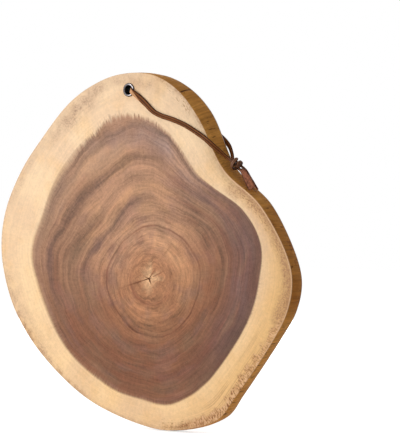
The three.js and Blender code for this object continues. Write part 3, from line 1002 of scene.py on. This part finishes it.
def smooth_route(route):
    """The route's stations again, close together on one smooth curve through them."""
    points = [stop.point for stop in route]
    points = [2 * points[0] - points[1], *points, 2 * points[-1] - points[-2]]
    stations = [route[0]]
    for first, second, (before, start, end, after) in zip(
        route, route[1:], zip(points, points[1:], points[2:], points[3:])
    ):
        lead, span, tail = (
            math.sqrt((b - a).length) for a, b in ((before, start), (start, end), (end, after))
        )
        leave = ((start - before) / lead - (end - before) / (lead + span)) * span + (end - start)
        reach = ((after - end) / tail - (after - start) / (span + tail)) * span + (end - start)
        steps = max(2, math.ceil((end - start).length / LACE_STEP))
        for step in range(1, steps + 1):
            t = step / steps
            point = hermite(start, leave, end, reach, t)
            facing = blend(first.facing, second.facing, t)
            stations.append(Station(point, facing, blend(first.rolled, second.rolled, t)))
    return stations


def lace_section(turn, rolled):
    """A point of the lace's section, as shares of its half thickness and half width."""
    power = 2 / blend(FLAT_CORNERS, ROLLED_CORNERS, rolled)
    thick, wide = math.cos(turn), math.sin(turn)
    return math.copysign(abs(thick) ** power, thick), math.copysign(abs(wide) ** power, wide)


def lace(name, node, route, material):
    """A strip of leather swept along its route, with square cut ends."""
    stations = smooth_route(route)
    path = [stop.point for stop in stations]
    bm = bmesh.new()
    along_at = bm.verts.layers.float.new("along")
    across_at = bm.verts.layers.float.new("across")
    ring, edges, turn_at = first_ring(bm, LACE_SIDES)
    travelled = 0
    for count, stop in enumerate(stations):
        if count > 0:
            ring, edges = next_ring(bm, edges)
            travelled += (path[count] - path[count - 1]).length
        ahead = (path[min(count + 1, len(path) - 1)] - path[max(count - 1, 0)]).normalized()
        normal = (stop.facing - ahead * stop.facing.dot(ahead)).normalized()
        side = ahead.cross(normal)
        waver = 1 + LACE_WAVER * noise.noise(Vector((travelled * WAVERS_PER_METRE, 0, len(route))))
        half_thick = blend(LACE_THICKNESS, ROLLED, stop.rolled) / 2
        half_wide = blend(LACE_WIDTH, ROLLED, stop.rolled) / 2 * waver
        for vert in ring:
            thick, wide = lace_section(vert[turn_at], stop.rolled)
            vert.co = stop.point + normal * (thick * half_thick) + side * (wide * half_wide)
            vert[along_at] = travelled
            vert[across_at] = wide
    piece = put(name, to_mesh(bm, name), "lace", node, [material])


def closed_curve(samples):
    """A smooth closed curve through (angle, distance) samples, as a function of the angle."""
    samples = sorted((angle % TURN, distance) for angle, distance in samples)
    angles = [angle for angle, distance in samples]

    def sample(index):
        turns, place = divmod(index, len(samples))
        angle, distance = samples[place]
        return angle + turns * TURN, distance

    def distance_at(angle):
        angle %= TURN
        index = bisect.bisect_right(angles, angle) - 1
        (a0, d0), (a1, d1), (a2, d2), (a3, d3) = (sample(index + step) for step in (-1, 0, 1, 2))
        span = a2 - a1
        t = (angle - a1) / span
        leave = (d2 - d0) / (a2 - a0) * span
        reach = (d3 - d1) / (a3 - a1) * span
        return hermite(d1, leave, d2, reach, t)

    return distance_at


def polar(x, z):
    """Angle and distance from the pith of a place on the board."""
    return math.atan2(z - PITH.z, x - PITH.x), math.hypot(x - PITH.x, z - PITH.z)


def frame_outline(depth):
    """The solid slab's outline at one depth, one sample for each tenth of a degree that has any."""
    found = {}
    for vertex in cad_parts["slab"].data.vertices:
        if abs(vertex.co.y - depth) < SAME_DEPTH:
            angle, distance = polar(vertex.co.x, vertex.co.z)
            tenth = round(math.degrees(angle) * 10) % 3600
            found[tenth] = (angle, max(distance, found.get(tenth, (0, 0))[1]))
    return closed_curve(found.values())


front_outline = frame_outline(-FLAT_WALL)
middle_outline = frame_outline(0)
back_outline = frame_outline(FLAT_WALL)
heart_outline = closed_curve(polar(x * MM, z * MM) for x, z in HEARTWOOD)


def rim_reach(angle, depth):
    """Distance of the board's edge from the pith at an angle and a depth."""
    share = depth / FLAT_WALL
    front, middle, back = front_outline(angle), middle_outline(angle), back_outline(angle)
    straight = blend(front, back, (share + 1) / 2)
    return straight + (middle - (front + back) / 2) * max(0, 1 - share**2)


def heart_reach(share, angle):
    """Distance from the pith of a ring of growth, nearly round at the pith, the heartwood's at 1."""
    return share * blend(ROUND_HEART, heart_outline(angle), share**HEART_EASE)


def growth_share(angle, distance, depth):
    """0 at the pith, 1 at the edge of the heartwood and 2 at the rim."""
    heart = heart_outline(angle)
    if distance > heart:
        return 1 + (distance - heart) / (rim_reach(angle, depth) - heart)
    share = distance / heart
    for again in range(GROWTH_STEPS):
        share = distance / blend(ROUND_HEART, heart, share**HEART_EASE)
    return share


ring_courses = [
    (ring.share, closed_curve((math.radians(degrees), share) for degrees, share in ring.course))
    for ring in RINGS
]


def ring_share(angle, growth):
    """The growth share again, bent so that each ring of RINGS has its own share all round."""
    inner, inner_share = 0, 0
    for share, course in [*ring_courses, (1, lambda angle: 1)]:
        outer = course(angle)
        if growth <= outer:
            return blend(inner_share, share, (growth - inner) / (outer - inner))
        inner, inner_share = outer, share
    return growth


def crack_reach(angle):
    """How far the cracks at the pith reach at an angle."""
    reach = 0
    for crack in CRACKS:
        off = math.acos(math.cos(angle - math.radians(crack.degrees)))
        wide = math.sin(min(off, math.pi / 2))
        reach = max(reach, crack.half / (wide + crack.half / crack.length))
    return reach


def edge_round(angle):
    """The eased edge's radius, which a hand sander leaves a little uneven."""
    spot = Vector((math.cos(angle), math.sin(angle), 0)) * EDGE_VARIES_RATE
    return EDGE_ROUND * (1 - EDGE_VARIES * (0.5 + 0.5 * noise.noise(spot)))


def wall_cut(angle, depth):
    """How far the live edge lies inside the slab's smooth wall."""
    reach = front_outline(angle)
    spot = Vector((math.cos(angle) * reach, depth * RIDGE_STRETCH, math.sin(angle) * reach))
    ridges = RIDGE_DEPTH * (0.5 + 0.5 * noise.noise(spot * RIDGE_PER_METRE))
    swell = SWELL_DEPTH * (0.5 + 0.5 * noise.noise(spot * SWELL_PER_METRE))
    return (ridges + swell) * max(0, 1 - (depth / FACE) ** 2)


def board_rings(side):
    """From the floor of the cracks out to the wall, on the face that side names, as functions of
    the angle that give a ring's distance from the pith and its depth."""
    face = side * FACE
    rings = [
        lambda angle: (crack_reach(angle) * CRACK_FLOOR, face - side * CRACK_DEPTH),
        lambda angle: (crack_reach(angle), face),
    ]

    def flat_ring(share):
        def at(angle):
            if share <= 1:
                return heart_reach(share, angle), face
            heart = heart_outline(angle)
            return blend(heart, rim_reach(angle, face) - EDGE_ROUND, share - 1), face
        return at

    def eased_ring(part):
        def at(angle):
            size = edge_round(angle)
            turn = part * math.pi / 2
            depth = face - side * size * (1 - math.cos(turn))
            return rim_reach(angle, depth) - size * (1 - math.sin(turn)) - wall_cut(angle, depth), depth
        return at

    rings += [flat_ring(share) for share in FACE_RINGS]
    rings += [eased_ring(step / EDGE_STEPS) for step in range(EDGE_STEPS + 1)]
    return rings


def wall_ring(part):
    def at(angle):
        half = FACE - edge_round(angle)
        depth = blend(-half, half, part)
        return rim_reach(angle, depth) - wall_cut(angle, depth), depth
    return at


def board_blank():
    """The slab, ring by ring from the cracks in the front face to those in the back face."""
    walls = [wall_ring(step / (WALL_RINGS + 1)) for step in range(1, WALL_RINGS + 1)]
    rings = [*board_rings(-1), *walls, *reversed(board_rings(1))]
    bm = bmesh.new()
    ring, edges, angle_at = first_ring(bm, BOARD_SIDES)
    for count, at in enumerate(rings):
        if count > 0:
            ring, edges = next_ring(bm, edges)
        for vert in ring:
            angle = vert[angle_at]
            reach, depth = at(angle)
            vert.co = PITH + Vector((math.cos(angle) * reach, depth, math.sin(angle) * reach))
    return to_mesh(bm, "live_edge_board")


def hole_cutter():
    bm = bmesh.new()
    bmesh.ops.create_cone(
        bm, cap_ends=True, segments=HOLE_SIDES, radius1=HOLE_RADIUS, radius2=HOLE_RADIUS, depth=4 * FACE
    )
    bmesh.ops.rotate(bm, verts=bm.verts, matrix=Matrix.Rotation(math.radians(90), 3, "X"))
    return to_mesh(bm, "hole_cutter")


def drilled(blank):
    """The blank with the hanging hole cut through it."""
    board = new_object("blank", blank)
    drill = new_object("drill", hole_cutter())
    cut = board.modifiers.new("hole", "BOOLEAN")
    cut.operation = "DIFFERENCE"
    cut.solver = "EXACT"
    cut.object = drill
    mesh = bpy.data.meshes.new_from_object(board.evaluated_get(bpy.context.evaluated_depsgraph_get()))
    for item in (board, drill):
        bpy.data.objects.remove(item)
    return mesh


def board(face_material, edge_material):
    mesh = drilled(board_blank())
    mesh.name = "live_edge_board"
    mesh.materials.clear()
    growth, ring, from_rim, crack = [], [], [], []
    for vertex in mesh.vertices:
        angle, distance = polar(vertex.co.x, vertex.co.z)
        growth.append(growth_share(angle, distance, vertex.co.y))
        ring.append(ring_share(angle, growth[-1]))
        from_rim.append(max(0, rim_reach(angle, vertex.co.y) - distance))
        sunk = abs(vertex.co.y) < FACE - CRACK_DEPTH / 2 and distance < ROUND_HEART / 2
        crack.append(1.0 if sunk else 0.0)
    for name, values in (("growth", growth), ("ring", ring), ("from_rim", from_rim), ("crack", crack)):
        mesh.attributes.new(name, "FLOAT", "POINT").data.foreach_set("value", values)
    eased = FACE - EDGE_ROUND * (1 - math.cos(math.pi / 4))
    for polygon in mesh.polygons:
        inner = polar(polygon.center.x, polygon.center.z)[1] < ROUND_HEART / 2
        polygon.material_index = 0 if inner or abs(polygon.center.y) > eased else 1
    smooth(mesh)
    put("live_edge_board", mesh, "board", "slab", [face_material, edge_material])


def eyelet(name, node, side, material):
    """A pressed eyelet on the face that side names: a barrel in the hole under a rolled flange."""
    middle = (FLANGE_RADIUS + EYELET_BORE) / 2
    half = (FLANGE_RADIUS - EYELET_BORE) / 2
    profile = [
        (EYELET_BORE, -BARREL_LENGTH),
        (BARREL_RADIUS, -BARREL_LENGTH),
        (BARREL_RADIUS, FLANGE_SEAT),
        (FLANGE_RADIUS, FLANGE_SEAT),
    ]
    for step in range(FLANGE_STEPS + 1):
        turn = math.pi * step / FLANGE_STEPS
        profile.append((middle + half * math.cos(turn), FLANGE_EDGE + FLANGE_CROWN * math.sin(turn)))
    bm = bmesh.new()
    verts = [bm.verts.new((radius, side * (FACE + height), 0)) for radius, height in profile]
    edges = [bm.edges.new(pair) for pair in zip(verts, verts[1:] + verts[:1])]
    bmesh.ops.spin(
        bm,
        geom=verts + edges,
        cent=(0, 0, 0),
        axis=(0, 1, 0),
        angle=TURN,
        steps=EYELET_STEPS,
        use_merge=True,
    )
    put(name, to_mesh(bm, name), "board", node, [material])


def seen_rays(shader):
    """1 for what is seen straight, in a mirror or through glass, and 0 for what only gives light."""
    path = shader.add("ShaderNodeLightPath", {})
    seen = shader.field(path, "Is Camera Ray")
    for ray in ("Is Glossy Ray", "Is Transmission Ray"):
        seen = shader.math("MAXIMUM", seen, shader.field(path, ray))
    return seen


def stage_floor(height):
    material, shader = new_material("pale_floor")
    strength = seen_rays(shader) * FLOOR_GLOW
    glow = shader.add("ShaderNodeEmission", {"Color": WHITE, "Strength": strength})
    matt = shader.add("ShaderNodeBsdfDiffuse", {"Color": FLOOR_GREY})
    both = shader.add("ShaderNodeAddShader", {0: shader.field(glow), 1: shader.field(matt)})
    shader.add("ShaderNodeOutputMaterial", {"Surface": shader.field(both)})
    bm = bmesh.new()
    bmesh.ops.create_grid(bm, x_segments=1, y_segments=1, size=FLOOR_SIZE / 2)
    bmesh.ops.translate(bm, verts=bm.verts, vec=UP * height)
    mesh = bpy.data.meshes.new("floor")
    bm.to_mesh(mesh)
    bm.free()
    mesh.materials.append(material)
    floor = new_object("floor", mesh)


def studio_light():
    world = bpy.data.worlds.new("studio")
    world.use_nodes = True
    world.node_tree.nodes.clear()
    shader = Shader(world.node_tree)
    strength = seen_rays(shader) * (1 - FILL) + FILL
    sky = shader.add("ShaderNodeBackground", {"Color": WHITE, "Strength": strength})
    shader.add("ShaderNodeOutputWorld", {"Surface": shader.field(sky)})
    bpy.context.scene.world = world

    for softbox in SOFTBOXES:
        lamp = bpy.data.lights.new(softbox.name, "AREA")
        lamp.size = SOFTBOX_SIZE
        lamp.energy = softbox.power
        light = new_object(softbox.name, lamp)
        light.location = softbox.place
        light.rotation_euler = (SOFTBOX_AIM - softbox.place).to_track_quat("-Z", "Y").to_euler()


def photo_camera():
    ahead = Vector((-math.sin(VIEW_AZIMUTH), math.cos(VIEW_AZIMUTH), 0))
    right = Vector((math.cos(VIEW_AZIMUTH), math.sin(VIEW_AZIMUTH), 0))
    lens = bpy.data.cameras.new("photo_camera")
    lens.sensor_fit = "HORIZONTAL"
    lens.sensor_width = SENSOR
    lens.lens = VIEW_DISTANCE / PIXEL * SENSOR / FRAME_WIDTH
    camera = new_object("photo_camera", lens)
    sideways = (FRAME_WIDTH / 2 - EYELET_PIXEL[0]) * PIXEL
    upwards = (EYELET_PIXEL[1] - FRAME_HEIGHT / 2) * PIXEL
    camera.location = EYELET_FRONT - ahead * VIEW_DISTANCE + right * sideways + UP * upwards
    camera.rotation_euler = (math.radians(90), 0, VIEW_AZIMUTH)
    bpy.context.scene.camera = camera


photo_camera()
leather = lace_leather()
lace("lace_front_strip", "lace_front", FRONT_ROUTE, leather)
lace("lace_back_strip", "lace_back", BACK_ROUTE, leather)
board(end_grain(), live_edge())
plating = eyelet_metal()
eyelet("eyelet_front_ring", "front_eyelet", -1, plating)
eyelet("eyelet_back_ring", "back_eyelet", 1, plating)
studio_light()
stage_floor(cad_box[0][2])
bpy.context.scene.view_settings.view_transform = "Standard"
